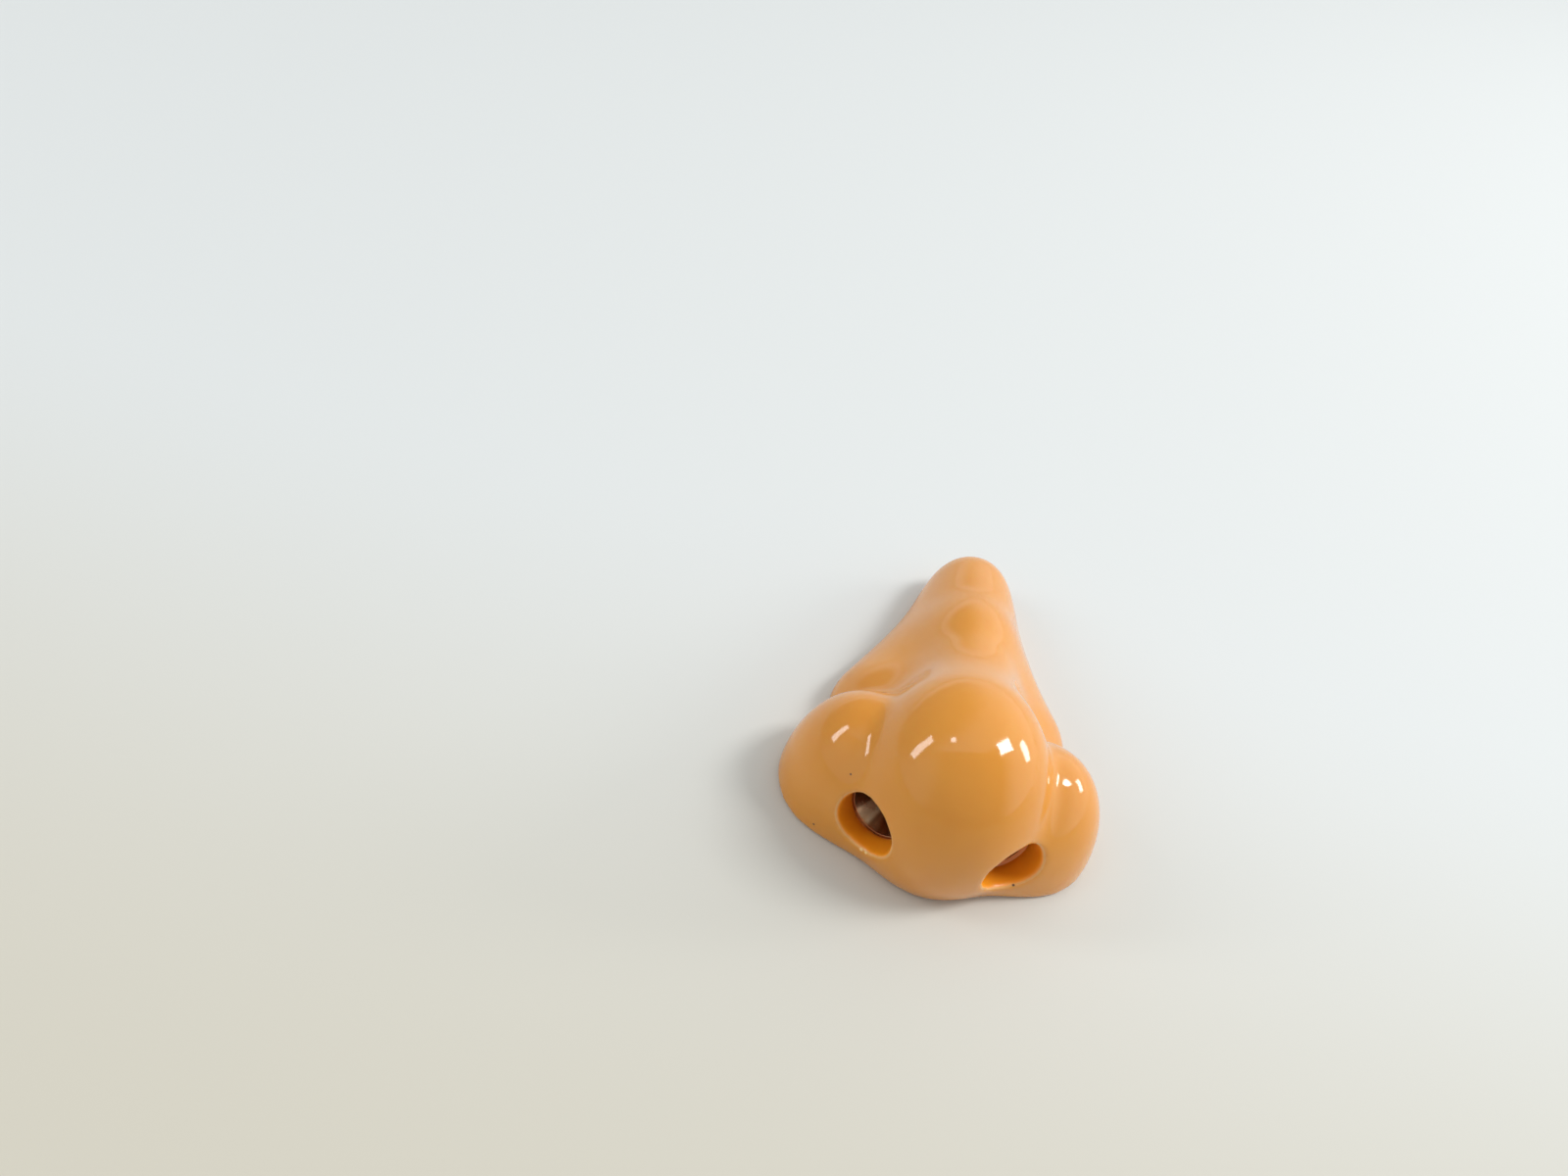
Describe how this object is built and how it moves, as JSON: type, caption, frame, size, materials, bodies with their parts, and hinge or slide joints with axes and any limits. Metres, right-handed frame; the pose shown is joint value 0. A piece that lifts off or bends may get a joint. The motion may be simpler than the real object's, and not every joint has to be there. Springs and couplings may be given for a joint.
{
  "type": "false nose",
  "caption": "Hollow moulded false nose with a round tip, rounded wings and a narrow bridge, a flat open back rim, and a metal cone seated in the round bore of each nostril.",
  "frame": {"origin": "under the middle of the shell, on the plane of its flat back rim", "axes": "+X across the face, +Y from the nostrils up to the root, +Z out of the face to the tip"},
  "size_m": [0.0386, 0.0526, 0.0217],
  "materials": {
    "orange_plastic": "glossy moulded, slightly translucent",
    "grey_metal": "turned"
  },
  "bodies": {
    "root": {"nose_shell": "orange_plastic", "nostril_cone_left": "grey_metal", "nostril_cone_right": "grey_metal"}
  },
  "joints": []
}
